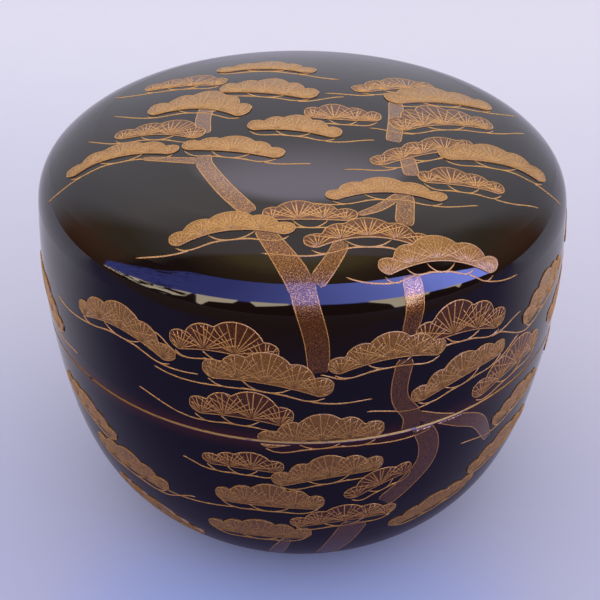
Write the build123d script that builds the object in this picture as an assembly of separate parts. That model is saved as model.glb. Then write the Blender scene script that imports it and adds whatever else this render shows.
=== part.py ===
from build123d import *
import math
import os

# Tea caddy: a turned wooden cup and a turned wooden lid, each under its own coats of lacquer.
# Millimetres, +Z up. The origin is the centre of the foot, on the surface that the caddy stands on.

# Outside shape of the closed caddy
outer_diameter = 75.0
seam_height = 35.6
widest_above_seam = 2.36

# The outside is a chain of tangent arcs. Each pair is an arc's radius and the slope, in degrees
# from upright, at which the next arc takes over. Both chains start at the widest point.
upper_arcs = [(102.0, 8.0), (7.0, 46.0), (14.0, 76.0)]
lower_arcs = [(110.0, 8.0), (50.0, 16.0), (26.5, 70.0)]

# Foot
foot_radius = 23.0
foot_ring_width = 2.0
foot_recess = 0.9
foot_edge_round = 0.25

# Coats of lacquer
outer_coat = 0.4
inner_coat = 0.3

# Lid
lid_wall = 2.2
bore_radius = 35.0
bore_edge_round = 0.25

# Collar of the body, which the lid slides over
fit_gap = 0.15
collar_height = 9.0
collar_wall = 1.5
collar_edge_round = 0.6

# Inside of the cup
body_wall = 3.6
floor_height = 4.0
floor_round = 12.0

# Gold line round each rim
rim_line_height = 0.35
rim_edge_cut = 0.2

outer_radius = outer_diameter / 2
widest_height = seam_height + widest_above_seam
collar_outer = bore_radius - fit_gap
collar_inner = collar_outer - collar_wall
collar_top = seam_height + collar_height

# Larger than the caddy, for the plain boxes that cut its half section into zones
reach = outer_diameter
above = 2 * outer_diameter
below = -outer_diameter


def arc_chain(arcs, direction):
    """Tangent arcs as centre r, centre z, radius, start slope and end slope.

    direction is +1 up towards the lid's top and -1 down towards the foot.
    """
    chain = []
    start = 0.0
    centre_r = outer_radius - arcs[0][0]
    centre_z = widest_height
    last_radius = arcs[0][0]
    for radius, end in arcs:
        slope = math.radians(direction * start)
        centre_r += (last_radius - radius) * math.cos(slope)
        centre_z += (last_radius - radius) * math.sin(slope)
        chain.append((centre_r, centre_z, radius, direction * start, direction * end))
        start = end
        last_radius = radius
    return chain


def on_arc(arc, slope_degrees, inset=0.0):
    """Point of an arc at a slope, with the arc drawn in by inset."""
    centre_r, centre_z, radius = arc[:3]
    slope = math.radians(slope_degrees)
    across = (radius - inset) * math.cos(slope)
    up = (radius - inset) * math.sin(slope)
    return centre_r + across, centre_z + up


upper_chain = arc_chain(upper_arcs, 1)
lower_chain = arc_chain(lower_arcs, -1)

# The dome of the lid leaves the last arc smoothly and has its centre on the axis.
dome_slope = upper_arcs[-1][1]
dome_edge_r, dome_edge_z = on_arc(upper_chain[-1], dome_slope)
dome_radius = dome_edge_r / math.cos(math.radians(dome_slope))
dome_centre_z = dome_edge_z - dome_radius * math.sin(math.radians(dome_slope))
dome = (0.0, dome_centre_z, dome_radius, dome_slope, 90.0)
overall_height = dome_centre_z + dome_radius

# The belly meets the foot ring where its arc comes in to the foot's radius.
belly = lower_chain[-1]
belly_foot_slope = -math.degrees(math.acos((foot_radius - belly[0]) / belly[2]))
belly_foot_height = on_arc(belly, belly_foot_slope)[1]


def zone(r_low, r_high, z_low, z_high):
    """Upright rectangle of the half section, between two radii and two heights."""
    middle = Pos((r_low + r_high) / 2, (z_low + z_high) / 2)
    return middle * Rectangle(r_high - r_low, z_high - z_low)


def caddy_outline(inset):
    """Half section of the closed caddy as one lump, drawn in by inset all round."""
    edges = []
    for centre_r, centre_z, radius, start, end in [*upper_chain, dome, *lower_chain]:
        edges.append(CenterArc((centre_r, centre_z), radius - inset, start, end - start))
    low = on_arc(belly, belly[4], inset)
    edges.append(Line(on_arc(dome, 90.0, inset), (0.0, low[1])))
    edges.append(Line((0.0, low[1]), low))
    return make_face(edges)


def rounded(section, r, z, radius):
    """Half section with the corner nearest to a point rounded."""
    corner = min(section.vertices(), key=lambda point: math.hypot(point.X - r, point.Y - z))
    return fillet(corner, radius)


def cup_outline(inset):
    """Half section of the cup as a lump, with its foot ring and the recess inside the ring."""
    ring_inner = foot_radius - foot_ring_width + inset
    lump = caddy_outline(inset) & zone(0, reach, belly_foot_height + inset, seam_height)
    ring = zone(ring_inner, foot_radius - inset, inset, foot_recess + outer_coat + inset)
    recess = zone(0, ring_inner, below, foot_recess + inset)
    return lump - recess + ring


def collar_outline(inset):
    """Half section of the collar, its two top edges rounded, drawn in by inset."""
    ring = zone(
        collar_inner + inset, collar_outer - inset, seam_height - collar_wall, collar_top - inset
    )
    ring = rounded(ring, collar_inner, collar_top, collar_edge_round - inset)
    return rounded(ring, collar_outer, collar_top, collar_edge_round - inset)


def cup_hollow(growth):
    """Half section of the space inside the cup, grown by the thickness of its lining."""
    hollow = caddy_outline(body_wall - growth) & zone(
        0, collar_inner + growth, floor_height - growth, collar_top + 1
    )
    return rounded(hollow, foot_radius, floor_height, floor_round + growth)


def lid_hollow(growth):
    """Half section of the space inside the lid, grown by the thickness of its lining."""
    return caddy_outline(lid_wall - growth) & zone(0, bore_radius + growth, 0, above)


def turned(section):
    """Solid turned from a half section about the upright axis."""
    return revolve(Plane.XZ * section, Axis.Z, 360)


def wall_radius(height, inset):
    """Radius of the lower wall's arc at a height close to the seam."""
    centre_r, centre_z, radius = lower_chain[0][:3]
    return centre_r + math.sqrt((radius - inset) ** 2 - (height - centre_z) ** 2)


def rim_line(direction):
    """Half section of the line at a rim, its seam edge cut back: +1 for the lid, -1 for the body."""
    far = seam_height + direction * rim_line_height
    cut = seam_height + direction * rim_edge_cut
    corners = [
        (wall_radius(far, outer_coat), far),
        (wall_radius(far, 0), far),
        (wall_radius(cut, 0), cut),
        (wall_radius(seam_height, rim_edge_cut), seam_height),
        (wall_radius(seam_height, outer_coat), seam_height),
    ]
    return make_face(Polyline(*corners, close=True))


# Body: the turned wood, with its collar and foot ring

inside_coat = caddy_outline(outer_coat)
wood_below_ledge = cup_outline(outer_coat) & zone(0, reach, 0, seam_height - inner_coat)
lining_space = cup_hollow(inner_coat)
wooden_body = wood_below_ledge + collar_outline(inner_coat) - lining_space

# Body: the coats over it

lacquered_cup = rounded(cup_outline(0), foot_radius, 0, foot_edge_round)
lacquered_cup = rounded(lacquered_cup, foot_radius - foot_ring_width, 0, foot_edge_round)
body_coats = lacquered_cup + collar_outline(0) - cup_hollow(0) - wooden_body
ledge_and_collar = inside_coat & zone(0, reach, seam_height - inner_coat, above)
foot_coats = zone(0, reach, below, outer_coat) + zone(
    0, foot_radius - foot_ring_width + outer_coat, below, foot_recess + outer_coat
)
rim_bands = zone(0, reach, seam_height - rim_line_height, seam_height + rim_line_height)
body_rim_line = rim_line(-1)
body_inner_lacquer = body_coats & (lining_space + ledge_and_collar)
body_underside_lacquer = body_coats & foot_coats
body_outer_lacquer = body_coats - body_inner_lacquer - body_underside_lacquer - rim_bands

# Lid: the turned wood

wooden_lid = (inside_coat & zone(0, reach, seam_height + inner_coat, above)) - lid_hollow(inner_coat)

# Lid: the coats over it

lacquered_lid = (caddy_outline(0) & zone(0, reach, seam_height, above)) - lid_hollow(0)
lid_coats = rounded(lacquered_lid, bore_radius, seam_height, bore_edge_round) - wooden_lid
lid_rim_line = rim_line(1)
lid_inner_lacquer = lid_coats & inside_coat
lid_outer_lacquer = lid_coats - inside_coat - rim_bands

sections = {
    "wooden_body": wooden_body,
    "body_outer_lacquer": body_outer_lacquer,
    "body_inner_lacquer": body_inner_lacquer,
    "body_underside_lacquer": body_underside_lacquer,
    "body_rim_line": body_rim_line,
    "wooden_lid": wooden_lid,
    "lid_outer_lacquer": lid_outer_lacquer,
    "lid_inner_lacquer": lid_inner_lacquer,
    "lid_rim_line": lid_rim_line,
}

os.makedirs("parts", exist_ok=True)
for name, section in sections.items():
    solid = turned(section)
    export_step(solid, f"parts/{name}.step")
    print(name, "faces in section", len(section.faces()), "volume", round(solid.volume, 1))

print("overall height", round(overall_height, 3), "dome radius", round(dome_radius, 2))
print("belly meets the foot at height", round(belly_foot_height, 3))
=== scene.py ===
import functools
import math
import random

import bmesh
import bpy
from mathutils import Matrix, Vector


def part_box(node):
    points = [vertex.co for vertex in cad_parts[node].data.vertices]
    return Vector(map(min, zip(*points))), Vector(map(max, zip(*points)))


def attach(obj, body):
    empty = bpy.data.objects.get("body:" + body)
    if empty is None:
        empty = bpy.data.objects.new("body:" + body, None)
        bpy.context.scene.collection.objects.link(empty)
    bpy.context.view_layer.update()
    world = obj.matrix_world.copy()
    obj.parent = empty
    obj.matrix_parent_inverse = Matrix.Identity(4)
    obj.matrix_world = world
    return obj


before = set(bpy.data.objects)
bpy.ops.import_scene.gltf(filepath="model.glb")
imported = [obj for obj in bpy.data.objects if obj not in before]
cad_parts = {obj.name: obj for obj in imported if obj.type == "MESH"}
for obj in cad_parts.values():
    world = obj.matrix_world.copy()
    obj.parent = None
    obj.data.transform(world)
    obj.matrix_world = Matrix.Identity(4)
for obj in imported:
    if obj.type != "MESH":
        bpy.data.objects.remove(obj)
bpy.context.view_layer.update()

# Lacquer tea caddy with old pines in gold and brown-gold powder.
# The scene is in metres. The ornament is drawn in millimetres on the lacquer and then raised on it.

MM = 0.001

# Measures of the caddy, from the frame

rim_low, rim_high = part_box("lid_rim_line")
seam = rim_low.z / MM
rim_line = (rim_high.z - rim_low.z) / MM
outer_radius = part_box("lid_outer_lacquer")[1].x / MM

# The outside is a chain of tangent arcs, as turned: radius and the slope, in degrees from upright,
# at which the next arc takes over. Both chains start at the widest point.

widest = seam + 2.36
upper_arcs = [(102.0, 8.0), (7.0, 46.0), (14.0, 76.0)]
lower_arcs = [(110.0, 8.0), (50.0, 16.0), (26.5, 70.0)]


def arc_chain(arcs, direction):
    """Tangent arcs as centre r, centre z, radius, start slope and end slope in radians."""
    chain = []
    start = 0.0
    centre_r = outer_radius - arcs[0][0]
    centre_z = widest
    last_radius = arcs[0][0]
    for radius, end_degrees in arcs:
        end = direction * math.radians(end_degrees)
        centre_r += (last_radius - radius) * math.cos(start)
        centre_z += (last_radius - radius) * math.sin(start)
        chain.append((centre_r, centre_z, radius, start, end))
        start = end
        last_radius = radius
    return chain


def section_from_foot():
    """Arcs of the outside in order from the belly to the middle of the lid, slopes rising."""
    upper = arc_chain(upper_arcs, 1)
    lower = arc_chain(lower_arcs, -1)
    centre_r, centre_z, radius, start, end = upper[-1]
    dome_radius = centre_r / math.cos(end) + radius
    dome_centre = centre_z + (radius - dome_radius) * math.sin(end)
    dome = (0.0, dome_centre, dome_radius, end, math.pi / 2)
    rising = [(r, z, radius, high, low) for r, z, radius, low, high in reversed(lower)]
    return rising + upper + [dome]


section = section_from_foot()


def climb_of_starts():
    """Distance along the surface from the seam up to the start of each arc."""
    lengths = [radius * (end - start) for _, _, radius, start, end in section]
    starts = [sum(lengths[:i]) for i in range(len(section))]
    _, wall_z, wall_radius, wall_start, _ = section[len(lower_arcs) - 1]
    seam_slope = math.asin((seam - wall_z) / wall_radius)
    seam_climb = starts[len(lower_arcs) - 1] + wall_radius * (seam_slope - wall_start)
    return [start - seam_climb for start in starts], sum(lengths) - seam_climb


arc_climbs, middle_climb = climb_of_starts()


def on_lacquer(turn, climb, lift):
    """Point at a turn from the front in radians and a climb above the seam, both along the surface."""
    number = len(section) - 1
    while number and arc_climbs[number] > climb:
        number -= 1
    centre_r, centre_z, radius, start, _ = section[number]
    slope = start + (climb - arc_climbs[number]) / radius
    r = centre_r + (radius + lift) * math.cos(slope)
    z = centre_z + (radius + lift) * math.sin(slope)
    return Vector((r * math.sin(turn), -r * math.cos(turn), z)) * MM


def on_wall(across, climb, lift):
    """Point of the wall: millimetres to the right of the front, round the caddy, and above the seam."""
    return on_lacquer(across / outer_radius, climb, lift)


def on_crown(x, y, lift):
    """Point of the lid's top: millimetres to the right and to the back of its middle."""
    return on_lacquer(math.atan2(x, -y), middle_climb - math.hypot(x, y), lift)


def wall_mark(degrees, climb):
    """Place on the wall, from degrees round to the right and millimetres above the seam."""
    return Vector((math.radians(degrees) * outer_radius, climb))


# Node maths


class Link:
    """A socket of a finish, with the operators that its maths uses."""

    def __init__(self, finish, socket):
        self.finish = finish
        self.socket = socket

    def calculate(self, operation, *values):
        return self.finish.node("ShaderNodeMath", {"operation": operation}, list(values))

    def __add__(self, other):
        return self.calculate("ADD", self, other)

    def __radd__(self, other):
        return self.calculate("ADD", other, self)

    def __sub__(self, other):
        return self.calculate("SUBTRACT", self, other)

    def __rsub__(self, other):
        return self.calculate("SUBTRACT", other, self)

    def __mul__(self, other):
        return self.calculate("MULTIPLY", self, other)

    def __rmul__(self, other):
        return self.calculate("MULTIPLY", other, self)

    def __truediv__(self, other):
        return self.calculate("DIVIDE", self, other)

    def step(self, low, high):
        """0 below low, 1 above high and smooth between them; the other way round if low is the larger."""
        return self.finish.node(
            "ShaderNodeMapRange", {"interpolation_type": "SMOOTHSTEP"}, [self, low, high]
        )


class Finish:
    """The nodes of one material, or of the world."""

    def __init__(self, owner):
        owner.use_nodes = True
        self.owner = owner
        self.tree = owner.node_tree
        self.tree.nodes.clear()

    def node(self, kind, settings=None, values=(), output=0):
        """A node of a kind, with its settings, and its sockets by place or by name. Gives an output."""
        made = self.tree.nodes.new(kind)
        for name, value in (settings or {}).items():
            if name == "stops":
                self.set_stops(made.color_ramp, value)
            else:
                setattr(made, name, value)
        pairs = values.items() if isinstance(values, dict) else enumerate(values)
        for name, value in pairs:
            if isinstance(value, Link):
                self.tree.links.new(value.socket, made.inputs[name])
            elif value is not None:
                made.inputs[name].default_value = value
        return Link(self, made.outputs[output]) if made.outputs else None

    def set_stops(self, ramp, stops):
        while len(ramp.elements) < len(stops):
            ramp.elements.new(1.0)
        for element, (place, colour) in zip(ramp.elements, stops):
            element.position = place
            element.color = (*colour, 1.0)

    def mix(self, share, first, second):
        """Colour between two, by a share that may vary over the surface."""
        sockets = {0: share, 6: colour_of(first), 7: colour_of(second)}
        return self.node("ShaderNodeMix", {"data_type": "RGBA"}, sockets, output=2)

    def places(self, scale=(1.0, 1.0, 1.0)):
        """Place on the piece in metres, drawn out by a scale along each axis."""
        spot = self.node("ShaderNodeTexCoord", output="Object")
        return self.node("ShaderNodeVectorMath", {"operation": "MULTIPLY"}, [spot, scale])

    def axis(self, number, vector=None):
        """One axis of a place or a heading: 0 to the right, 1 to the back and 2 up."""
        return self.node("ShaderNodeSeparateXYZ", None, [vector or self.places()], output=number)

    def off_seam(self):
        """Distance above or below the seam in metres."""
        height = self.axis(2)
        return height.calculate("ABSOLUTE", height - seam * MM)

    def ramp(self, share, stops):
        """Colour along a few stops."""
        return self.node("ShaderNodeValToRGB", {"stops": stops}, [share])

    def noise(self, scale, detail=2.0, vector=None):
        sockets = {"Scale": scale, "Detail": detail, "Vector": vector or self.places()}
        return self.node("ShaderNodeTexNoise", None, sockets)

    def bump(self, height, depth):
        """Normal of a surface whose height, from 0 to 1, stands for a depth in metres."""
        return self.node("ShaderNodeBump", None, {"Height": height, "Strength": 1.0, "Distance": depth})

    def surface(self, **values):
        """Closes the material with its shader. A word's underscores stand for spaces."""
        sockets = {name.replace("_", " "): value for name, value in values.items()}
        shader = self.node("ShaderNodeBsdfPrincipled", None, sockets)
        self.node("ShaderNodeOutputMaterial", None, {"Surface": shader})
        return self.owner


def colour_of(value):
    return value if isinstance(value, Link) else (*value, 1.0)


def new_finish(name):
    return Finish(bpy.data.materials.new(name))


# Finishes


def black_lacquer():
    """Black lacquer that thins to red-brown at the seam, polished, with faint handling marks."""
    finish = new_finish("Black_Lacquer")
    thin = finish.off_seam().step(0.0022, 0.0002) * 0.7
    depth = finish.noise(45.0, 3.0)
    ground = finish.mix(depth, (0.0035, 0.0028, 0.0032), (0.0075, 0.0058, 0.0052))
    colour = finish.mix(thin, ground, (0.055, 0.012, 0.006))
    haze = finish.noise(160.0, 4.0).step(0.45, 0.8)
    polish = finish.bump(finish.noise(70.0, 1.0), 0.00002)
    return finish.surface(Base_Color=colour, Roughness=haze * 0.04 + 0.03, IOR=1.53, Normal=polish)


def lining_lacquer():
    """Plain black lacquer inside and underneath, a little softer than the outside."""
    finish = new_finish("Lining_Lacquer")
    cloud = finish.noise(60.0, 3.0)
    colour = finish.mix(cloud, (0.006, 0.005, 0.005), (0.014, 0.009, 0.007))
    polish = finish.bump(finish.noise(120.0, 2.0), 0.00003)
    return finish.surface(Base_Color=colour, Roughness=cloud * 0.1 + 0.1, IOR=1.53, Normal=polish)


def turned_wood():
    """Fine pale wood with its rings drawn out along the block that it was turned from."""
    finish = new_finish("Turned_Wood")
    rings = finish.noise(300.0, 3.0, finish.places((1.0, 0.12, 1.0)))
    pores = finish.noise(1800.0, 2.0, finish.places((1.0, 0.05, 1.0)))
    grain = finish.mix(rings, (0.42, 0.25, 0.12), (0.62, 0.42, 0.22))
    colour = finish.mix(pores.step(0.55, 0.75) * 0.5, grain, (0.25, 0.13, 0.06))
    relief = finish.bump(pores, 0.00004)
    return finish.surface(Base_Color=colour, Roughness=rings * 0.15 + 0.55, Normal=relief)


def powder(name, ground, flake, metal, roughness):
    """Metal powder sprinkled in lacquer: clouds of tone, and bright flakes on a duller ground."""
    finish = new_finish(name)
    clouds = finish.noise(550.0, 3.0).step(0.3, 0.7)
    grains = finish.noise(9000.0, 2.0)
    flakes = grains.step(0.35, 0.70) * (clouds * 0.3 + 0.7)
    return finish.surface(
        Base_Color=finish.mix(flakes, ground, flake),
        Metallic=(flakes * 0.6 + 0.4) * metal,
        Roughness=grains * 0.2 + (roughness - 0.1),
        Coat_Weight=0.5,
        Coat_Roughness=0.18,
        Normal=finish.bump(grains, 0.00002),
    )


def bark():
    """Brown-gold powder of the trunks, in faint streaks along them from the trunk's own map."""
    finish = new_finish("Bark_Powder")
    map_place = finish.node("ShaderNodeUVMap", {"uv_map": "Grain"})
    along = finish.node("ShaderNodeVectorMath", {"operation": "MULTIPLY"}, [map_place, (0.7, 4.0, 1.0)])
    streaks = finish.noise(1.0, 3.0, along).step(0.3, 0.7)
    grains = finish.noise(8500.0, 2.0)
    flakes = grains.step(0.42, 0.72) * (streaks * 0.3 + 0.7)
    return finish.surface(
        Base_Color=finish.mix(flakes, (0.095, 0.031, 0.009), (0.72, 0.37, 0.10)),
        Metallic=flakes * 0.35 + 0.6,
        Roughness=grains * 0.12 + 0.12,
        Coat_Weight=1.0,
        Coat_Roughness=0.12,
        Normal=finish.bump(grains, 0.00004),
    )


def rim_powder():
    """Gold powder along the very edge of each rim, worn back to red-brown lacquer beside it."""
    finish = new_finish("Rim_Powder")
    wear = finish.noise(900.0, 3.0)
    gold = finish.off_seam().step(0.00021, 0.00012) * wear.step(0.2, 0.45)
    return finish.surface(
        Base_Color=finish.mix(gold, (0.05, 0.010, 0.005), (0.42, 0.24, 0.035)),
        Metallic=gold * 0.75,
        Roughness=gold * 0.3 + 0.18,
        IOR=1.53,
    )


FINISHES = {
    "black_lacquer": black_lacquer(),
    "lining_lacquer": lining_lacquer(),
    "wood": turned_wood(),
    "pad_gold": powder("Pad_Gold", (0.24, 0.095, 0.018), (0.71, 0.405, 0.115), 0.9, 0.38),
    "pad_brown": powder("Pad_Brown", (0.06, 0.015, 0.004), (0.27, 0.105, 0.03), 0.8, 0.35),
    "pale_gold": powder("Pale_Gold", (0.50, 0.25, 0.06), (0.80, 0.48, 0.16), 0.6, 0.42),
    "line_gold": powder("Line_Gold", (0.60, 0.275, 0.06), (0.89, 0.54, 0.18), 0.5, 0.42),
    "rim_gold": rim_powder(),
    "bark": bark(),
}

NODES = {
    "wood": ("wooden_body", "wooden_lid"),
    "black_lacquer": ("body_outer_lacquer", "lid_outer_lacquer"),
    "lining_lacquer": ("body_inner_lacquer", "body_underside_lacquer", "lid_inner_lacquer"),
    "rim_gold": ("body_rim_line", "lid_rim_line"),
}
for finish_name, node_names in NODES.items():
    for node_name in node_names:
        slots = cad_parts[node_name].data.materials
        slots.clear()
        slots.append(FINISHES[finish_name])

# Ornament: heights above the lacquer in millimetres. Each layer stands clear of the one below.

SUNK = -0.05
TRUNK_TOP = 0.03
TWIG_TOP = 0.07
PAD_TOP = {"brown": 0.06, "gold": 0.12}
STROKE_RISE = 0.04
STROKE_DEPTH = 0.03

# Widths of the strokes in millimetres, and the steps that they are drawn in

NEEDLE_WIDTH = 0.23
SPINE_WIDTH = 0.3
OUTLINE_WIDTH = 0.17
TWIG_WIDTH = 0.28
TRUNK_EDGE_WIDTH = 0.15
NEEDLE_STEP = 0.8
OUTLINE_STEP = 0.36
STROKE_STEP = 0.5

# Shares of a width: a needle's tip or a twig's start, and the very end of any stroke

THIN_END = 0.8
STROKE_END = 0.45

# Height of a pad's end lobes beside its tallest, and how far they hang, on the lid's top and the wall

CROWN_ENDS = (0.62, 0.45)
WALL_ENDS = (0.62, 0.6)

# Lobes of a pad, and which one from its left end is the tallest

LOBES = {"gold": (5, 3), "brown": (4, 3)}

# Room of a lobe along its pad, by chance, and of the tallest. A spread is its half width beside its
# room, so neighbours run into each other. The lobes get lower towards the ends.

LOBE_ROOM = (0.9, 1.1)
TALLEST_ROOM = 1.4
LOBE_SPREAD = 0.84
END_SPREAD = 0.54
FALL_RATE = 1.2
FALL_POWER = 1.2

# Shares of a lobe's height: what an end lobe hangs below its middle, and where other lobes start

END_HANG = 0.58
LOBE_FOOT = 0.2

# Share of a pad's half length over which its lower edge bends, and its least height in millimetres

BEND_REACH = 0.86
LEAST_HEIGHT = 0.2

# Grid of a pad: its pitch, and how close it comes to the pad's ends and to the dips between lobes

COLUMN_PITCH = 0.33
PAD_ROWS = 6
END_CLEAR = 0.01
END_CROWDING = 0.006
DIP_CLEAR = 0.12
DIP_STEP = 0.04

# Turns of the needles of one fan from its spine, in degrees, and how far an end fan leans outwards

FAN_TURNS = (-74, -60, -46, -31, -16, 0, 16, 31, 46, 60, 74)
SMALL_FAN_TURNS = (-68, -46, -23, 0, 23, 46, 68)
FAN_LEAN = 15
TURN_CHANCE = 4

# Least height of a lobe with the larger fan, and the reach of a fan as shares of its lobe's sizes

TALL_LOBE = 2.2
FAN_SPREAD = 1.8
FAN_HEIGHT = 0.99

# Needles in millimetres: their foot over the lower edge, their start, their least and greatest length,
# and what they keep clear of the pad's lower edge, top and ends

NEEDLE_FOOT = 0.2
NEEDLE_START = (0.05, 0.35)
NEEDLE_LENGTHS = (0.7, 6.0)
NEEDLE_CLEAR = (0.12, 0.08, 0.1)
PROBE_START = 0.3
PROBE_STEP = 0.1

# Branch under a pad in millimetres: how far it keeps off, how far it drops, and its twigs' pitch

BRANCH_CLEAR = 0.1
BRANCH_DROP = 1.15
TWIG_PITCH = 2.9

# A twig in shares of its pitch: where it hangs lowest, where it ends in the next one, and where the
# outermost one takes the branch's tail. Then its rise at its end, as a share of the drop.

TWIG_LOW = 0.62
TWIG_SWING = 1.42
TAIL_JOINT = 0.42
TWIG_RISE = 0.104
TWIG_STEPS = 7

# Share of a pad's half length that has twigs, and the open stretch in its middle, in pitches

TWIG_REACH = 0.9
MIDDLE_GAP = 0.3

# Tail of a branch: its sag as a share of its run, and the steps that it is drawn in

TAIL_SAG = 0.06
TAIL_STEPS = 12

# Shares of a trunk's width: at its blunt ends, out to its edge lines, and where it hides other lines

BLUNT_END = (0.72, 0.93, 1.0)
TRUNK_EDGE = 0.47
TRUNK_COVER = 0.44


def as_mesh(shape, name):
    """A mesh of a bmesh, which is freed."""
    mesh = bpy.data.meshes.new(name)
    shape.to_mesh(mesh)
    shape.free()
    return mesh


def add_object(name, data):
    made = bpy.data.objects.new(name, data)
    bpy.context.scene.collection.objects.link(made)
    return made


class Layer:
    """Everything of one finish over the whole caddy, before it is parted at the seam."""

    def __init__(self, finish, slot):
        self.finish = finish
        self.slot = slot
        self.shape = bmesh.new()

    def take(self, part):
        """Adds a small bmesh to the layer and frees it."""
        mesh = as_mesh(part, "part")
        self.shape.from_mesh(mesh)
        bpy.data.meshes.remove(mesh)


LAYERS = {
    "trunks": Layer("bark", "brown_gold"),
    "trunk_edges": Layer("line_gold", "gold"),
    "gold_boughs": Layer("pad_gold", "gold"),
    "brown_boughs": Layer("pad_brown", "brown_gold"),
    "gold_needles": Layer("pale_gold", "gold"),
    "brown_needles": Layer("line_gold", "gold"),
    "twigs": Layer("line_gold", "gold"),
}


def sheet(columns, rows, place):
    """Closed thin slab from a grid: place(column, row, is_top) gives each point of top and underside."""
    slab = bmesh.new()
    bmesh.ops.create_grid(slab, x_segments=columns, y_segments=rows, size=0.5)
    raised = bmesh.ops.extrude_face_region(slab, geom=slab.faces[:])
    top = {vertex for vertex in raised["geom"] if isinstance(vertex, bmesh.types.BMVert)}
    for vertex in slab.verts:
        column = round((vertex.co.x + 0.5) * columns)
        row = round((vertex.co.y + 0.5) * rows)
        vertex.co = place(column, row, vertex in top)
    bmesh.ops.recalc_face_normals(slab, faces=slab.faces[:])
    for edge in slab.edges:
        edge.smooth = edge.calc_face_angle(0.0) < math.radians(35)
    for face in slab.faces:
        face.smooth = True
    return slab


@functools.cache
def stroke_shape(steps):
    """A stroke from x 0 to 1 with a ridge: a three-sided bar in steps, its foot edges sharp."""
    bar = bmesh.new()
    bmesh.ops.create_cone(bar, cap_ends=True, segments=3, radius1=1, radius2=1, depth=1)
    bmesh.ops.rotate(bar, verts=bar.verts, matrix=Matrix.Rotation(math.pi / 2, 3, "Y"))
    ridge = max(bar.verts, key=lambda vertex: vertex.co.z).co.z
    for vertex in bar.verts:
        side = 0.0 if vertex.co.z > ridge - 0.1 else math.copysign(0.5, vertex.co.y)
        vertex.co = Vector((vertex.co.x + 0.5, side, 1.0 if side == 0.0 else 0.0))
    runs = [edge for edge in bar.edges if abs(edge.verts[0].co.x - edge.verts[1].co.x) > 0.5]
    if steps > 1:
        bmesh.ops.subdivide_edges(bar, edges=runs, cuts=steps - 1, use_grid_fill=True)
    bmesh.ops.recalc_face_normals(bar, faces=bar.faces[:])
    for edge in bar.edges:
        low = all(vertex.co.z < 0.5 for vertex in edge.verts)
        edge.smooth = not low or abs(edge.verts[0].co.y - edge.verts[1].co.y) >= 0.1
    for face in bar.faces:
        face.smooth = True
    return as_mesh(bar, "stroke")


def draw_stroke(part, path, chart, widths, foot, top):
    """A stroke along a path of 2-D points on a chart, from one width to the other."""
    count = len(path) - 1
    first = len(part.verts)
    part.from_mesh(stroke_shape(count))
    part.verts.ensure_lookup_table()
    for vertex in part.verts[first:]:
        number = round(vertex.co.x * count)
        ahead = path[min(number + 1, count)] - path[max(number - 1, 0)]
        side = Vector((-ahead.y, ahead.x)).normalized()
        width = widths[0] + (widths[1] - widths[0]) * (number / count)
        if number in (0, count):
            width *= STROKE_END
        spot = path[number] + side * (vertex.co.y * width)
        lift = top if vertex.co.z > 0.5 else foot
        vertex.co = chart(spot.x, spot.y, lift)


def resample(points, step):
    """Points at even steps along a line through the given ones."""
    lengths = [0.0]
    for before, after in zip(points, points[1:]):
        lengths.append(lengths[-1] + (after - before).length)
    count = max(2, round(lengths[-1] / step))
    result = []
    number = 0
    for i in range(count + 1):
        target = lengths[-1] * i / count
        while number < len(points) - 2 and lengths[number + 1] < target:
            number += 1
        span = max(lengths[number + 1] - lengths[number], 1e-9)
        share = (target - lengths[number]) / span
        result.append(points[number].lerp(points[number + 1], share))
    return result


def curve(points, steps):
    """Smooth line through a few points, as a Catmull-Rom spline with steps between each two."""
    ends = [points[0] * 2 - points[1], *points, points[-1] * 2 - points[-2]]
    line = []
    for a, b, c, d in zip(ends, ends[1:], ends[2:], ends[3:]):
        for i in range(steps):
            s = i / steps
            line.append(
                ((b * 2) + (c - a) * s + (a * 2 - b * 5 + c * 4 - d) * s**2
                 + (b * 3 - a - c * 3 + d) * s**3) / 2
            )
    return [*line, points[-1].copy()]


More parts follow.
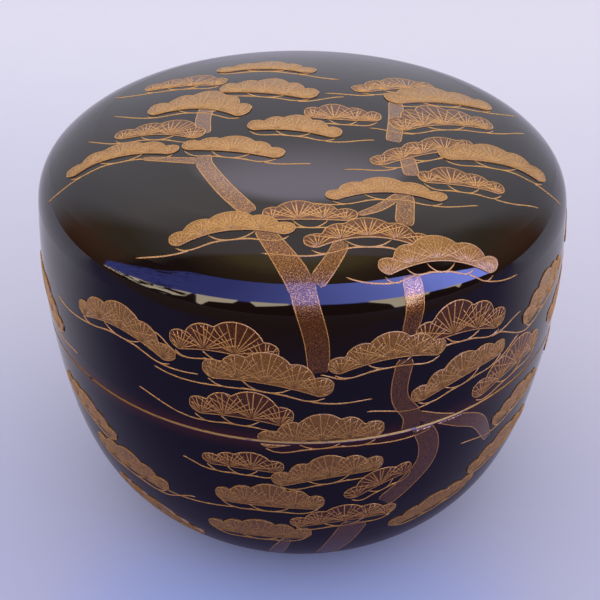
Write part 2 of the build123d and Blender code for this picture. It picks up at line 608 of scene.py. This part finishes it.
class Bough:
    """A pad of needles over its branch, along the line from its left end to its right end.

    crown and base are the heights of its top and its lower edge over that line at the middle. ends is
    the height of its end lobes beside the tallest, and how far they hang.
    """

    def __init__(self, chart, left, right, crown, base, ends, lobes, luck):
        self.chart = chart
        self.middle = (left + right) / 2
        self.length = (right - left).length
        self.along = (right - left).normalized()
        self.up = Vector((-self.along.y, self.along.x))
        self.crown = crown
        self.base = base
        self.luck = luck
        self.half = self.length / 2
        self.end_share = ends[0]
        self.end_base = -0.5 * ends[0] * (crown - base) - ends[1]
        self.lobes = self.make_lobes(*lobes)

    def make_lobes(self, count, tallest):
        """Lobes as middle, half width and height over the lower edge. The tallest is the widest."""
        rooms = [self.luck.uniform(*LOBE_ROOM) for _ in range(count)]
        rooms[tallest - 1] = TALLEST_ROOM
        cells = [self.length * room / sum(rooms) for room in rooms]
        centres = [sum(cells[:i]) + cells[i] / 2 - self.half for i in range(count)]
        peak = centres[tallest - 1]
        lobes = []
        for i, (centre, cell) in enumerate(zip(centres, cells)):
            reach = self.half - peak if centre > peak else self.half + peak
            fall = min(1.0, (FALL_RATE * abs(centre - peak) / reach) ** FALL_POWER)
            height = (self.crown - self.base) * (1 - (1 - self.end_share) * fall)
            spread = END_SPREAD if i in (0, count - 1) else LOBE_SPREAD
            lobes.append((centre, cell * spread, height))
        return lobes

    def lower_edge(self, u):
        """Height of the lower edge between the end lobes."""
        share = min(1.0, abs(u) / (BEND_REACH * self.half))
        return self.base + (self.end_base - self.base) * share**2

    def end_round(self, u):
        """The end lobe that rounds this place off: how high its middle is, and its height here."""
        for centre, half_width, height in (self.lobes[0], self.lobes[-1]):
            if (u - centre) * centre > 0:
                roundness = math.sqrt(max(0.0, 1.0 - ((u - centre) / half_width) ** 2))
                return self.lower_edge(centre) + END_HANG * height, height * roundness
        return None

    def top(self, u):
        end = self.end_round(u)
        best = end[0] + (1 - END_HANG) * end[1] if end else self.lower_edge(u) + LEAST_HEIGHT
        for centre, half_width, height in self.lobes:
            if end is None and abs(u - centre) < half_width:
                roundness = math.sqrt(1.0 - ((u - centre) / half_width) ** 2)
                share = LOBE_FOOT + (1 - LOBE_FOOT) * roundness
                best = max(best, self.lower_edge(centre) + height * share)
        return best

    def bottom(self, u):
        end = self.end_round(u)
        return end[0] - END_HANG * end[1] if end else self.lower_edge(u)

    def notches(self):
        """Places of the dips between lobes along the top."""
        count = int(self.length / DIP_STEP)
        tops = [self.top(-self.half + DIP_STEP * i) for i in range(count)]
        dips = [i for i in range(1, count - 1) if tops[i] < tops[i - 1] and tops[i] <= tops[i + 1]]
        return [-self.half + DIP_STEP * i for i in dips]

    def columns(self):
        """Places along the pad for the columns of its grid, closer at its round ends."""
        count = round(self.length / COLUMN_PITCH)
        reach = self.half - END_CLEAR
        even = [-reach + 2 * reach * i / count for i in range(count + 1)]
        near_ends = [side * reach * (1 - END_CROWDING * i * i) for side in (-1, 1) for i in (1, 2, 3)]
        dips = self.notches()
        clear = [u for u in even if all(abs(u - dip) > DIP_CLEAR for dip in dips)]
        return sorted(clear + near_ends + dips)

    def pad(self, top):
        """The flat pad as a slab with its top at a height over the lacquer."""
        columns = self.columns()

        def spot(column, row, is_top):
            u = columns[column]
            low = self.bottom(u)
            mark = self.on_chart(u, low + (self.top(u) - low) * row / PAD_ROWS)
            return self.chart(mark.x, mark.y, top if is_top else SUNK)

        return sheet(len(columns) - 1, PAD_ROWS, spot)

    def outline(self):
        """The edge of the pad as a closed line of marks on the chart."""
        columns = self.columns()
        inset = OUTLINE_WIDTH * 0.35
        over = [(u, self.top(u) - inset) for u in columns]
        under = [(u, self.bottom(u) + inset) for u in reversed(columns)]
        return [self.on_chart(u, v) for u, v in over + under + over[:1]]

    def needles(self):
        """Straight strokes with their widths, fanning out from the foot of each lobe to its edge."""
        lines = []
        for centre, half_width, height in self.lobes:
            foot = Vector((centre, self.lower_edge(centre) + NEEDLE_FOOT))
            fan = (half_width * FAN_SPREAD, height * FAN_HEIGHT)
            lean = FAN_LEAN * centre / self.half
            for turn in FAN_TURNS if height > TALL_LOBE else SMALL_FAN_TURNS:
                angle = math.radians(turn + lean + self.luck.uniform(-TURN_CHANCE, TURN_CHANCE))
                heading = Vector((math.sin(angle), math.cos(angle)))
                reach = self.needle_reach(foot, heading, fan)
                if reach > NEEDLE_LENGTHS[0]:
                    width = NEEDLE_WIDTH if turn else SPINE_WIDTH
                    start = foot + heading * self.luck.uniform(*NEEDLE_START)
                    ends = [self.on_chart(*start), self.on_chart(*(foot + heading * reach))]
                    lines.append((width, ends))
        return lines

    def needle_reach(self, foot, heading, fan):
        """How far a needle runs before it leaves the pad or the ellipse of its own fan."""
        below, above, beside = NEEDLE_CLEAR
        reach = PROBE_START
        while reach < NEEDLE_LENGTHS[1]:
            tip = foot + heading * reach
            inside = self.bottom(tip.x) + below < tip.y < self.top(tip.x) - above
            away = ((tip.x - foot.x) / fan[0]) ** 2 + ((tip.y - foot.y) / fan[1]) ** 2
            if abs(tip.x) > self.half - beside or not inside or away > 1.0:
                return reach - PROBE_STEP
            reach += PROBE_STEP
        return reach

    def on_chart(self, u, v):
        return self.middle + self.along * u + self.up * v

    def local(self, mark):
        away = mark - self.middle
        return Vector((away.dot(self.along), away.dot(self.up)))

    def hang(self, u, share):
        """Place under the pad, from its lower edge at share 0 to the low line of its branch at 1."""
        return Vector((u, self.lower_edge(u) - BRANCH_CLEAR - BRANCH_DROP * share))

    def branch(self, left_tail, right_tail):
        """Lines under the pad. Twigs lean out from both sides and swing into the next one inwards."""
        reach = self.half * TWIG_REACH
        pairs = max(2, round(reach / TWIG_PITCH))
        pitch = reach / (pairs - MIDDLE_GAP)
        lines = []
        for side, tail in ((-1, left_tail), (1, right_tail)):
            for i in range(pairs):
                start = reach - pitch * i
                steps = [TWIG_SWING * j / TWIG_STEPS for j in range(TWIG_STEPS + 1)]
                twig = [self.hang(side * (start - pitch * x), twig_drop(x)) for x in steps]
                lines.append(twig)
            if tail is not None:
                joint = self.hang(side * (reach - TAIL_JOINT * pitch), twig_drop(TAIL_JOINT))
                lines.append(tail_line(self.local(tail), joint))
        return [[self.on_chart(*point) for point in line] for line in lines]


def twig_drop(x):
    """How far a twig hangs, from 0 to 1, after a share of the distance to the next twig."""
    if x < TWIG_LOW:
        return 1.0 - (1.0 - x / TWIG_LOW) ** 2
    return 1.0 - TWIG_RISE * ((x - TWIG_LOW) / (TWIG_SWING - TWIG_LOW)) ** 2


def tail_line(tip, joint):
    """Long bow of a branch from the tip of its tail to the joint under the pad."""
    run = joint.x - tip.x
    sag = TAIL_SAG * abs(run)
    near_tip = Vector((tip.x + 0.3 * run, tip.y - sag))
    near_joint = Vector((joint.x - 0.4 * run, joint.y - sag + 0.35 * min(0.0, tip.y - joint.y)))
    line = []
    for i in range(TAIL_STEPS + 1):
        s = i / TAIL_STEPS
        line.append(
            tip * (1 - s) ** 3 + near_tip * (3 * s * (1 - s) ** 2)
            + near_joint * (3 * s**2 * (1 - s)) + joint * s**3
        )
    return line


def crown_mark(x, y):
    return Vector((x, y))


FACES = {"crown": (on_crown, crown_mark, CROWN_ENDS), "wall": (on_wall, wall_mark, WALL_ENDS)}


def draw_bough(face, kind, left, right, crown, base, left_tail=None, right_tail=None, lobes=None):
    """One pad with its edge, needles and branch, by marks of its face, in the layers of its kind."""
    chart, mark, ends = FACES[face]
    luck = random.Random(f"{face} {left} {right}")
    bough = Bough(chart, mark(*left), mark(*right), crown, base, ends, lobes or LOBES[kind], luck)
    tails = [mark(*tail) if tail else None for tail in (left_tail, right_tail)]
    pad_top = PAD_TOP[kind]
    LAYERS[f"{kind}_boughs"].take(bough.pad(pad_top))
    lines = bmesh.new()
    edge = resample(bough.outline(), OUTLINE_STEP)
    heights = (pad_top - STROKE_DEPTH, pad_top + STROKE_RISE)
    draw_stroke(lines, edge, chart, (OUTLINE_WIDTH, OUTLINE_WIDTH), *heights)
    for width, needle in bough.needles():
        path = resample(needle, NEEDLE_STEP)
        draw_stroke(lines, path, chart, (width, width * THIN_END), *heights)
    LAYERS[f"{kind}_needles"].take(lines)
    twigs = bmesh.new()
    for line in bough.branch(*tails):
        path = resample(line, STROKE_STEP)
        draw_stroke(twigs, path, chart, (TWIG_WIDTH * THIN_END, TWIG_WIDTH), SUNK, TWIG_TOP)
    LAYERS["twigs"].take(twigs)


class Trunk:
    """A band of bark through marks of place and width on a chart."""

    step = 0.4
    rows = 6

    def __init__(self, chart, marks):
        self.chart = chart
        self.centre = resample(curve([Vector(mark[:2]) for mark in marks], 10), self.step)
        self.count = len(self.centre) - 1
        self.widths = [width.x for width in curve([Vector((mark[2], 0.0)) for mark in marks], 10)]
        self.spots = [chart(mark.x, mark.y, 0.0) for mark in self.centre]

    def width(self, number):
        place = number / self.count * (len(self.widths) - 1)
        low = min(int(place), len(self.widths) - 2)
        width = self.widths[low] + (self.widths[low + 1] - self.widths[low]) * (place - low)
        return width * BLUNT_END[min(number, self.count - number, 2)]

    def mark(self, number, share):
        """Mark at a share of the width to the left of the middle line."""
        before = self.centre[max(number - 1, 0)]
        ahead = self.centre[min(number + 1, self.count)] - before
        side = Vector((-ahead.y, ahead.x)).normalized()
        return self.centre[number] + side * (self.width(number) * share)

    def spot(self, number, share, lift):
        mark = self.mark(number, share)
        return self.chart(mark.x, mark.y, lift)

    def nearest(self, place):
        return min(range(self.count + 1), key=lambda i: (self.spots[i] - place).length_squared)

    def covers(self, place):
        """True where a place on the lacquer lies inside the band."""
        number = self.nearest(place)
        return (self.spots[number] - place).length < TRUNK_COVER * self.width(number) * MM

    def band(self):
        """The band as a slab, with its map of millimetres along and across it."""

        def place(column, row, is_top):
            return self.spot(column, row / self.rows - 0.5, TRUNK_TOP if is_top else SUNK)

        band = sheet(self.count, self.rows, place)
        grain = band.loops.layers.uv.new("Grain")
        for face in band.faces:
            for loop in face.loops:
                spot = loop.vert.co
                number = self.nearest(spot)
                left = self.spot(number, 0.5, 0.0) - self.spots[number]
                across = left.normalized().dot(spot - self.spots[number]) / MM
                loop[grain].uv = (number * self.step, across)
        return band

    def edges(self, others):
        """Lines along both edges, left out where another trunk covers them."""
        lines = []
        for share in (-TRUNK_EDGE, TRUNK_EDGE):
            run = []
            for number in range(self.count + 1):
                place = self.spot(number, share, 0.0)
                if any(other.covers(place) for other in others):
                    lines.append(run)
                    run = []
                else:
                    run.append(self.mark(number, share))
            lines.append(run)
        return [line for line in lines if len(line) > 2]


def trunk_on(face, marks):
    chart, mark, _ = FACES[face]
    return Trunk(chart, [(*mark(*place), width) for *place, width in marks])


def draw_trunks(trunks):
    for trunk in trunks:
        LAYERS["trunks"].take(trunk.band())
        lines = bmesh.new()
        others = [other for other in trunks if other is not trunk]
        for line in trunk.edges(others):
            path = resample(line, STROKE_STEP)
            heights = (TRUNK_TOP - STROKE_DEPTH, TRUNK_TOP + STROKE_RISE)
            widths = (TRUNK_EDGE_WIDTH, TRUNK_EDGE_WIDTH)
            draw_stroke(lines, path, trunk.chart, widths, *heights)
        LAYERS["trunk_edges"].take(lines)


# Boughs as kind, left end, right end, crown, base, where the branch's tails end, and lobes. Those on
# the lid's top are in millimetres to the right and to the back of its middle.

CROWN_BOUGHS = [
    ("gold", (-12.8, 14.3), (1.8, 12.0), 4.2, -0.2, None, (5.0, 8.0)),
    ("brown", (-23.0, 10.0), (-11.0, 8.0), 3.4, -1.4, (-27.5, 8.0)),
    ("gold", (-11.4, 5.5), (2.0, 1.7), 4.1, -1.7, None, (5.5, 1.0)),
    ("gold", (-21.0, 0.2), (-7.0, -3.4), 5.8, -0.2, (-26.0, 0.0)),
    ("brown", (-24.7, -6.0), (-12.6, -9.0), 3.4, -0.6, (-28.5, -6.5)),
    ("gold", (-30.5, -12.8), (-15.6, -12.0), 3.4, 0.1, (-34.0, -15.5)),
    ("gold", (-15.0, -11.2), (-2.2, -14.6), 2.4, -1.2, None, (1.0, -17.0)),
    ("gold", (-7.0, -7.4), (4.9, -9.6), 3.2, -1.0, None, (9.0, -11.0)),
    ("brown", (0.2, -4.0), (10.2, -4.2), 2.4, -2.2, None, None, (4, 2)),
    ("brown", (6.8, 4.3), (18.6, 10.0), 3.2, -1.4, (3.0, 2.0)),
    ("gold", (11.2, 2.0), (26.6, 6.0), 4.8, -1.2, None, (30.5, 4.5)),
    ("brown", (11.3, -6.2), (25.5, -1.0), 4.9, -1.1, (8.5, -8.0), (30.5, -1.5), (5, 3)),
    ("brown", (8.2, -15.8), (21.8, -8.4), 2.3, -1.1, (5.0, -18.0), None, (5, 4)),
    ("gold", (17.0, -12.0), (31.8, -11.4), 3.6, -0.8, None, (35.0, -14.0)),
    ("brown", (14.0, -17.8), (24.8, -17.5), 2.3, -1.2, None, (30.0, -18.3), (4, 2)),
    ("gold", (2.7, -22.7), (17.1, -21.3), 2.9, 0.1, (1.0, -24.4), (21.0, -22.0)),
    ("brown", (-4.5, -25.9), (6.3, -25.8), 1.8, -1.4, None, None, (4, 2)),
    ("gold", (-15.2, -28.8), (-0.8, -28.3), 2.8, -0.2, (-19.5, -30.3)),
    ("brown", (0.2, -30.3), (14.6, -28.6), 2.9, -0.1, (-4.5, -32.0), None, (5, 3)),
]

# Those on the wall, first the lid's and then the body's, are in degrees from the front and millimetres
# above the seam.

WALL_BOUGHS = [
    ("gold", (14.8, 23.3), (39.4, 19.8), 3.6, 0.4, (8.2, 21.9), (44.2, 16.8)),
    ("gold", (-77.0, 8.4), (-55.7, 4.5), 2.2, -1.2, None, (-50.3, 2.4)),
    ("gold", (-46.8, 11.8), (-22.7, 10.8), 3.7, 0.1, (-56.5, 9.2), (-18.4, 8.7)),
    ("brown", (-23.7, 13.4), (-3.8, 13.1), 3.4, -0.9, (-27.0, 12.9)),
    ("gold", (-17.3, 10.6), (5.8, 8.8), 3.4, -0.9, (-27.3, 8.1), (12.8, 6.2)),
    ("brown", (-20.3, 4.7), (-1.2, 4.4), 3.0, -1.2, (-31.3, 3.9)),
    ("gold", (4.8, 11.8), (26.6, 12.2), 3.1, -0.5, (3.5, 10.2)),
    ("brown", (20.6, 14.2), (41.0, 12.6), 3.6, -0.9, None, (46.0, 11.2), (4, 2)),
    ("gold", (20.2, 5.8), (41.5, 8.5), 2.5, -1.2, (12.0, 4.3), (46.1, 7.7)),
    ("brown", (34.2, 2.8), (55.0, 4.8), 3.2, -1.2),
    ("gold", (47.2, 9.9), (65.5, 12.7), 2.5, -1.4, (38.4, 10.2)),
    ("gold", (-7.6, 0.8), (15.3, 2.0), 3.2, -1.2, None, (25.0, -0.8)),
    ("gold", (-60.5, -5.0), (-40.9, -8.3), 2.0, -1.2),
    ("gold", (-49.5, -11.7), (-28.2, -13.1), 2.6, -1.6, None, (-22.0, -13.6)),
    ("gold", (-46.0, -18.5), (-23.0, -24.5), 1.6, -1.3),
    ("brown", (-18.7, -4.0), (-3.0, -3.9), 1.8, -1.3, (-23.0, -5.5)),
    ("gold", (-5.3, -6.2), (15.7, -3.8), 2.8, -1.3),
    ("gold", (-16.8, -10.5), (4.9, -10.6), 2.9, -1.7, (-33.0, -14.2)),
    ("gold", (-20.0, -18.6), (2.6, -18.0), 2.6, -1.8),
    ("brown", (8.8, -10.0), (21.8, -6.0), 2.0, -1.1, None, None, (3, 2)),
    ("brown", (-1.8, -15.2), (20.4, -14.3), 2.6, -1.1, None, None, (5, 3)),
    ("gold", (19.8, -18.8), (41.5, -15.3), 1.8, -1.5),
    ("gold", (38.6, -13.2), (61.0, -11.0), 2.5, -1.5),
    ("gold", (42.4, -5.0), (60.0, -3.4), 2.0, -1.2, (33.9, -6.3)),
]

for marks in CROWN_BOUGHS:
    draw_bough("crown", *marks)
for marks in WALL_BOUGHS:
    draw_bough("wall", *marks)

# Rows of boughs round the sides and the back: their climb, and the degrees where they start and end

FAR_ROWS = ((13.4, 86, 266), (5.0, 72, 276), (-4.8, 80, 276), (-12.2, 89, 290), (-19.6, 77, 290))
FAR_ROW_LENGTH = 9
FAR_PITCH = 27

# Ranges that chance draws from for such a bough, its base, and how far its tail runs out and drops

FAR_SHIFT = (-2, 2)
FAR_HALF = (9.0, 11.0)
FAR_SLANT = (0.3, 1.6)
FAR_CROWN = (2.4, 3.2)
FAR_BASE = -0.9
FAR_RUN = 5.0
FAR_DROP = 2.2

for row, (climb, first, last) in enumerate(FAR_ROWS):
    for number in range(FAR_ROW_LENGTH):
        luck = random.Random(f"far side {row} {number}")
        turn = first + FAR_PITCH * number + luck.uniform(*FAR_SHIFT)
        half = luck.uniform(*FAR_HALF)
        slant = luck.choice((-1, 1)) * luck.uniform(*FAR_SLANT)
        kind = "brown" if (number + row) % 3 == 1 else "gold"
        left = (turn - half, climb + slant)
        right = (turn + half, climb - slant)
        crown = luck.uniform(*FAR_CROWN)
        tails = [None, (turn + half + FAR_RUN, climb - slant - FAR_DROP)]
        if slant < 0:
            tails = [(turn - half - FAR_RUN, climb + slant - FAR_DROP), None]
        if turn < last:
            draw_bough("wall", kind, left, right, crown, FAR_BASE, *tails)

# Trunks by the place and width of each mark: the lid's top, the wall in front, and the far sides

CROWN_TRUNKS = [
    ((-12.9, -1.5, 2.0), (-13.1, -5.5, 2.1), (-12.6, -9.2, 1.8)),
    ((-12.1, -14.4, 2.0), (-11.9, -16.5, 2.1), (-9.2, -21.5, 2.2), (-5.9, -26.0, 2.1)),
    ((-4.6, -28.5, 2.1), (-2.9, -31.2, 2.5), (-0.7, -34.6, 3.0), (0.2, -36.5, 3.2)),
    ((-20.0, -13.6, 0.7), (-15.8, -14.8, 1.0), (-12.6, -15.6, 1.3)),
    ((12.6, 0.8, 2.0), (12.2, -5.0, 2.1), (11.4, -11.0, 2.0)),
    ((12.9, -14.2, 2.0), (13.2, -18.2, 2.1)),
    ((12.2, -22.0, 2.1), (11.7, -27.2, 2.3)),
    ((11.4, -22.2, 1.2), (9.0, -24.6, 1.1), (6.4, -26.1, 0.6)),
]
WALL_TRUNKS = [
    ((0.2, 21.8, 3.2), (0.5, 20.0, 3.0), (2.6, 15.0, 2.9), (3.2, 10.5, 2.5)),
    ((8.6, 26.3, 2.2), (6.2, 24.2, 2.1), (2.6, 21.4, 2.2)),
    ((20.4, 21.2, 2.5), (20.3, 17.4, 2.4), (19.2, 14.2, 2.0)),
    ((18.8, 11.0, 2.3), (17.9, 7.4, 2.2), (18.4, 5.0, 2.2), (20.8, 2.4, 2.4), (20.7, -0.3, 2.5)),
    ((22.9, 0.3, 2.6), (25.2, -3.0, 3.0), (25.2, -6.6, 3.0), (21.4, -10.2, 3.0), (17.4, -12.9, 3.0)),
    ((12.0, -16.6, 4.0), (9.2, -22.0, 4.0), (6.5, -27.5, 3.4)),
    ((20.6, 2.6, 1.5), (25.9, 0.8, 1.6), (31.6, -1.1, 2.2), (37.6, -3.5, 2.1), (42.3, -8.4, 1.3)),
    ((-2.6, -20.6, 1.4), (-4.6, -24.6, 2.2), (-6.0, -28.0, 2.4)),
]
FAR_TRUNKS = [
    ((118, 20.0, 1.8), (121, 14.0, 2.3), (117, 8.5, 2.4), (120, 3.0, 2.5), (125, -3.0, 2.8)),
    ((125, -2.4, 2.8), (122, -9.0, 3.0), (116, -15.0, 3.2), (113, -21.0, 3.4), (114, -27.5, 3.2)),
    ((120, 12.6, 1.3), (128, 10.8, 1.5), (136, 7.6, 1.0)),
    ((210, 20.0, 1.6), (213, 15.0, 2.0), (217, 9.0, 2.2), (214, 3.0, 2.4), (208, -3.0, 2.6)),
    ((208, -2.4, 2.6), (206, -9.0, 2.8), (210, -15.5, 3.0), (214, -22.0, 3.2), (213, -27.5, 3.0)),
    ((214.5, 4.0, 1.4), (222, 1.8, 1.6), (229, -2.0, 1.5), (234, -6.5, 1.0)),
    ((168, -1.6, 1.4), (165, -7.5, 2.0), (166, -14.0, 2.2), (162, -21.0, 2.4), (163, -27.5, 2.2)),
]

crown_trunks = [trunk_on("crown", marks) for marks in CROWN_TRUNKS]
draw_trunks(crown_trunks + [trunk_on("wall", marks) for marks in WALL_TRUNKS])
draw_trunks([trunk_on("wall", marks) for marks in FAR_TRUNKS])


def part_at_seam(name, layer):
    """The layer's share of the lid and of the body, cut clear of the rim lines."""
    whole = as_mesh(layer.shape, name)
    for body, direction in (("lid", 1), ("body", -1)):
        share = bmesh.new()
        share.from_mesh(whole)
        height = (seam + direction * rim_line) * MM
        cut = bmesh.ops.bisect_plane(
            share,
            geom=[*share.verts, *share.edges, *share.faces],
            plane_co=(0.0, 0.0, height),
            plane_no=(0.0, 0.0, direction),
            clear_inner=True,
        )
        rim = [item for item in cut["geom_cut"] if isinstance(item, bmesh.types.BMEdge)]
        bmesh.ops.holes_fill(share, edges=rim, sides=0)
        bmesh.ops.triangulate(share, faces=[face for face in share.faces if len(face.verts) > 4])
        piece = add_object(f"{body}_{name}", as_mesh(share, f"{body}_{name}"))
        piece.data.materials.append(FINISHES[layer.finish])
        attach(piece, body)
    bpy.data.meshes.remove(whole)


for layer_name, ornament_layer in LAYERS.items():
    part_at_seam(layer_name, ornament_layer)

# Floor


def floor_finish():
    """Pale lilac papered floor, with painted shade and painted light: darker and bluer around the front
    of the caddy, lighter behind it and to the right. What the lacquer mirrors of it is a painted
    reflection, dimmer in front of the caddy.
    """
    finish = new_finish("Floor_Paper_Painted_Light")
    across = finish.axis(0)
    depth = finish.axis(1)
    off_middle = across * across
    # Painted shade: the floor is darker and bluer just in front of the caddy, and lighter further in
    # front, to the sides and behind it.
    paper_and_painted_light = finish.mix(depth.step(-0.08, 0.05), (0.46, 0.485, 0.80), (0.575, 0.575, 0.72))
    # Painted shadow: a still bluer patch on the floor close in front of the caddy's foot.
    painted_blue_shadow = depth.step(-0.012, -0.034) * off_middle.step(0.0016, 0.0)
    paper_and_painted_light = finish.mix(painted_blue_shadow * 0.8, paper_and_painted_light, (0.31, 0.44, 0.98))
    paper_and_painted_light = finish.mix(depth.step(-0.05, -0.13), paper_and_painted_light, (0.66, 0.66, 0.76))
    to_sides = off_middle.step(0.005, 0.026) * depth.step(0.0, -0.04)
    paper_and_painted_light = finish.mix(to_sides, paper_and_painted_light, (0.66, 0.66, 0.76))
    paper_and_painted_light = finish.mix(depth.step(0.03, 0.22), paper_and_painted_light, (0.715, 0.71, 0.81))
    # Painted light: the floor is lighter towards the right.
    paper_and_painted_light = finish.mix(across.step(-0.12, 0.12) * 0.3, paper_and_painted_light, (0.74, 0.71, 0.80))
    paper_and_painted_light = finish.mix(finish.noise(90.0, 4.0) * 0.05, paper_and_painted_light, (0.40, 0.41, 0.55))
    # Painted reflection and shade: rays other than camera rays see a darker floor, grey behind the caddy,
    # dark blue in front of it and dark brown further off. The lacquer mirrors it, and it bounces less
    # light onto the caddy.
    painted_reflected_shade = finish.mix(depth.step(0.03, -0.05), (0.55, 0.53, 0.62), (0.10, 0.08, 0.23))
    painted_reflected_shade = finish.mix(depth.step(-0.09, -0.17), painted_reflected_shade, (0.15, 0.05, 0.02))
    seen = finish.node("ShaderNodeLightPath", output="Is Camera Ray")
    return finish.surface(Base_Color=finish.mix(seen, painted_reflected_shade, paper_and_painted_light), Roughness=0.9)


ground = bmesh.new()
bmesh.ops.create_grid(ground, x_segments=8, y_segments=8, size=3.0)
floor = add_object("Floor", as_mesh(ground, "Floor"))
floor.data.materials.append(floor_finish())

# World

# Colours of the mirrored sky from the horizon, at 0, to overhead, at 1

SKY_BEHIND = [
    (0.00, (0.58, 0.57, 0.66)),
    (0.25, (0.64, 0.62, 0.70)),
    (0.42, (0.82, 0.78, 0.84)),
    (0.55, (1.00, 0.90, 0.90)),
    (0.68, (0.88, 0.77, 0.74)),
    (0.90, (1.00, 0.84, 0.88)),
]
SKY_BESIDE = [
    (0.00, (0.26, 0.09, 0.04)),
    (0.25, (0.46, 0.22, 0.11)),
    (0.48, (0.40, 0.30, 0.18)),
    (0.62, (0.62, 0.52, 0.46)),
    (0.90, (1.10, 0.88, 0.88)),
]
SKY_AHEAD = [
    (0.00, (0.10, 0.03, 0.02)),
    (0.58, (0.10, 0.03, 0.02)),
    (0.72, (0.42, 0.24, 0.10)),
    (0.80, (0.76, 0.53, 0.21)),
    (0.87, (0.92, 0.66, 0.31)),
    (0.95, (1.10, 0.88, 0.88)),
]

# Pale blocks along the foot of the mirrored window: place from left to right, and height

BLOCKS = [
    (0.00, 0.6), (0.33, 0.9), (0.375, 0.5), (0.38, 0.0), (0.39, 0.0), (0.395, 1.0),
    (0.403, 1.0), (0.409, 0.5), (0.438, 0.3), (0.442, 0.0), (0.456, 0.0), (0.459, 0.4),
    (0.488, 0.1), (0.492, 0.0), (0.56, 0.0), (0.585, 0.5), (0.59, 1.0), (0.62, 1.0),
    (0.63, 0.3), (0.65, 0.2), (0.655, 0.0), (0.73, 0.1), (0.75, 0.6), (0.77, 0.0),
]


class Sky(Finish):
    """The nodes of the world: plain light for the caddy, and a sky in bands for it to mirror."""

    def __init__(self, world):
        super().__init__(world)
        self.heading = self.node("ShaderNodeTexCoord", output="Generated")
        self.across, self.back, self.up = [self.axis(number, self.heading) for number in range(3)]
        height = self.up.calculate("ARCSINE", self.up)
        self.level = height.calculate("MAXIMUM", height, 0.0) * (2 / math.pi)
        flat = self.across.calculate("SQRT", self.across * self.across + self.back * self.back)
        self.facing = self.back / flat.calculate("MAXIMUM", flat, 0.01)

    def bands(self):
        """Bands of colour by height, behind, beside and ahead of the caddy."""
        ahead = self.facing.step(-0.12, -0.30)
        behind = self.facing.step(0.25, 0.60)
        colour = self.mix(ahead, self.ramp(self.level, SKY_BESIDE), self.ramp(self.level, SKY_AHEAD))
        return self.mix(behind, colour, self.ramp(self.level, SKY_BEHIND))

    def with_window(self, colour):
        """Adds a window ahead: blue panes with branches at their left, and blocks along their foot."""
        ahead = self.back.calculate("MAXIMUM", self.back * -1.0, 0.01)
        rise = self.up / ahead
        aside = self.across / ahead
        breaks = self.noise(1.0, 3.0, self.node("ShaderNodeCombineXYZ", None, [aside * 1.8, rise * 9.0]))
        opening = aside.step(-9.0, -6.8) * aside.step(5.5, 4.5) * self.facing.step(-0.04, -0.12)

        top = 1.66 - breaks.step(0.50, 0.62) * aside.step(-0.8, -2.0) * 0.35
        branches = breaks.calculate("ABSOLUTE", breaks - 0.45).step(0.025, 0.01)
        pane = rise.step(0.34, 0.40) * (rise - top).step(0.06, -0.06) * opening
        pane = pane * (1.0 - branches * aside.step(-0.8, -1.5) * 0.85)
        blue = self.mix(aside.step(-0.9, 2.3), (0.48, 0.56, 2.4), (3.3, 4.1, 12.8))
        colour = self.mix(pane, colour, blue)

        heights = self.ramp(aside * 0.125 + 0.5, [(place, (height,) * 3) for place, height in BLOCKS])
        blocks = (rise - 0.37 + heights * 0.36).step(-0.02, 0.02) * rise.step(0.42, 0.38)
        ragged = 1.0 - aside.step(-0.95, -1.05) * breaks.step(0.54, 0.46)
        blocks = blocks * heights.step(0.02, 0.1) * opening * ragged
        return self.mix(blocks, colour, (6.5, 5.4, 4.0))

    def with_haze(self, colour):
        """Adds the pale patch high up behind the caddy."""
        ways = [self.heading, (0.0, 0.788, 0.616)]
        middle = self.node("ShaderNodeVectorMath", {"operation": "DOT_PRODUCT"}, ways, output=1)
        patch = middle.step(0.962, 0.974) * self.level.step(0.38, 0.56)
        return self.mix(patch, colour, (2.4, 2.15, 2.6))

    def plain(self):
        """Light on all that isn't mirrored: stronger from behind, and weak from low down."""
        colour = self.mix(self.back.step(-0.9, 0.9), (0.98, 0.98, 1.03), (1.20, 1.20, 1.24))
        colour = self.mix(self.up.step(-0.05, 0.85), (0.08, 0.075, 0.085), colour)
        beside = (self.across * self.across).step(0.2, 0.85) * 0.85
        return self.mix(beside, colour, (1.70, 1.58, 1.62))


def make_world():
    world = bpy.data.worlds.new("Studio")
    bpy.context.scene.world = world
    sky = Sky(world)
    mirrored = sky.with_haze(sky.with_window(sky.bands()))
    glossy = sky.node("ShaderNodeLightPath", output="Is Glossy Ray")
    seen = sky.node("ShaderNodeLightPath", output="Is Camera Ray")
    colour = sky.mix(glossy, sky.plain(), mirrored)
    colour = sky.mix(seen, colour, (0.80, 0.81, 0.90))
    light = sky.node("ShaderNodeBackground", None, {"Color": colour, "Strength": 1.0})
    sky.node("ShaderNodeOutputWorld", None, {"Surface": light})


make_world()

# Camera at the photograph's viewing angle

focal_length = 54.0
sensor = 36.0
camera_place = Vector((0.0, -0.11498, 0.11087))
camera_drop = math.radians(35.139)
camera_turn = math.radians(-0.096)
camera_roll = math.radians(0.538)


def camera_frame():
    """Matrix of the camera from its place, drop, turn and roll."""
    forward = Vector((
        math.sin(camera_turn) * math.cos(camera_drop),
        math.cos(camera_turn) * math.cos(camera_drop),
        -math.sin(camera_drop),
    ))
    level = Vector((math.cos(camera_turn), -math.sin(camera_turn), 0.0))
    upright = level.cross(forward)
    right = level * math.cos(camera_roll) + upright * math.sin(camera_roll)
    above = upright * math.cos(camera_roll) - level * math.sin(camera_roll)
    turned = Matrix((right, above, -forward)).transposed()
    return Matrix.Translation(camera_place) @ turned.to_4x4()


camera_data = bpy.data.cameras.new("Camera")
camera_data.lens = focal_length
camera_data.sensor_width = sensor
camera_data.clip_start = 0.005
camera_data.clip_end = 20.0
camera = add_object("Camera", camera_data)
camera.matrix_world = camera_frame()
bpy.context.scene.camera = camera

bpy.context.scene.view_settings.view_transform = "Standard"
